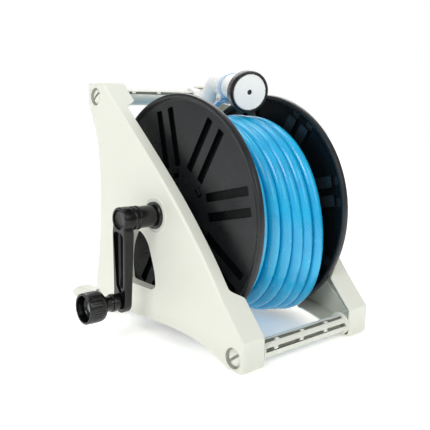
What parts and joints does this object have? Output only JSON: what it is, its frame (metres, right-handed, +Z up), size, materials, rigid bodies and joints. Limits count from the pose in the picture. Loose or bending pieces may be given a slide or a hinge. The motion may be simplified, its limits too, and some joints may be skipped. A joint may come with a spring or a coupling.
{
  "type": "hose reel",
  "caption": "Free-standing garden hose reel: two moulded triangular side panels on slotted bars, hand-cranked drum wound with blue hose, and a parked spray nozzle",
  "frame": {"origin": "On the floor under the middle of the object's bounding box", "axes": "+X along the drum's axle, away from the crank; -Y is the front, where the hose is seen between the panels; +Z is up"},
  "size_m": [0.3556, 0.3822, 0.3377],
  "materials": {
    "ivory_plastic": "moulded ivory plastic with a fine grain",
    "black_drum_plastic": "charcoal moulded plastic",
    "black_crank_plastic": "smooth black plastic",
    "blue_hose": "glossy bright blue reinforced hose",
    "pale_blue_plastic": "smooth pale blue plastic",
    "white_plastic": "smooth white plastic",
    "grey_plastic": "grey moulded fitting plastic",
    "steel": "zinc-plated steel",
    "seal_rubber": "black seal rubber"
  },
  "bodies": {
    "stand": {"left_side_panel": "ivory_plastic", "right_side_panel": "ivory_plastic", "top_handle_bar": "ivory_plastic", "front_cross_bar": "ivory_plastic", "rear_cross_bar": "ivory_plastic", "left_top_cap_bolt": "ivory_plastic", "right_top_cap_bolt": "ivory_plastic", "left_front_cap_bolt": "ivory_plastic", "right_front_cap_bolt": "ivory_plastic", "left_rear_cap_bolt": "ivory_plastic", "right_rear_cap_bolt": "ivory_plastic", "left_bearing_bush": "black_drum_plastic", "right_bearing_bush": "grey_plastic", "inlet_elbow": "grey_plastic", "inlet_nipple": "grey_plastic", "inlet_lock_nut": "grey_plastic", "nozzle_holder": "white_plastic", "nozzle_body": "white_plastic", "nozzle_index_ring": "pale_blue_plastic", "hose_connector": "pale_blue_plastic", "hose_tail": "blue_hose", "trigger_pin": "steel"},
    "drum": {"drum_left_flange": "black_drum_plastic", "drum_right_flange": "black_drum_plastic", "drum_core": "black_drum_plastic", "hose_inner_layers": "blue_hose", "hose_winding": "blue_hose", "crank_spindle": "steel", "water_axle": "grey_plastic", "axle_seal": "seal_rubber", "core_outlet": "grey_plastic", "crank_arm": "black_crank_plastic", "crank_cap": "black_crank_plastic", "knob_pin": "steel"},
    "knob": {"crank_knob": "black_crank_plastic"},
    "dial": {"nozzle_dial": "black_crank_plastic", "nozzle_face": "white_plastic"},
    "trigger": {"nozzle_trigger": "pale_blue_plastic"}
  },
  "joints": [
    {"name": "drum_spin", "type": "hinge", "parent": "stand", "child": "drum", "pos_m": [0.03225, -0.0304, 0.1555], "axis": [1, 0, 0], "continuous": true, "deforming": ["hose_tail"]},
    {"name": "knob_spin", "type": "hinge", "parent": "drum", "child": "knob", "pos_m": [-0.15775, -0.0224, 0.0523], "axis": [1, 0, 0], "continuous": true},
    {"name": "dial_turn", "type": "hinge", "parent": "stand", "child": "dial", "pos_m": [0.05225, -0.0594, 0.3075], "axis": [0.2722, 0.9494, 0.1564], "continuous": true},
    {"name": "trigger_pull", "type": "hinge", "parent": "stand", "child": "trigger", "pos_m": [0.06737, 0.00956, 0.29737], "axis": [0.9492, -0.2383, -0.2054], "range_deg": [0, 10], "stiffness_Nm_per_rad": 2, "springref_deg": -5.73}
  ]
}
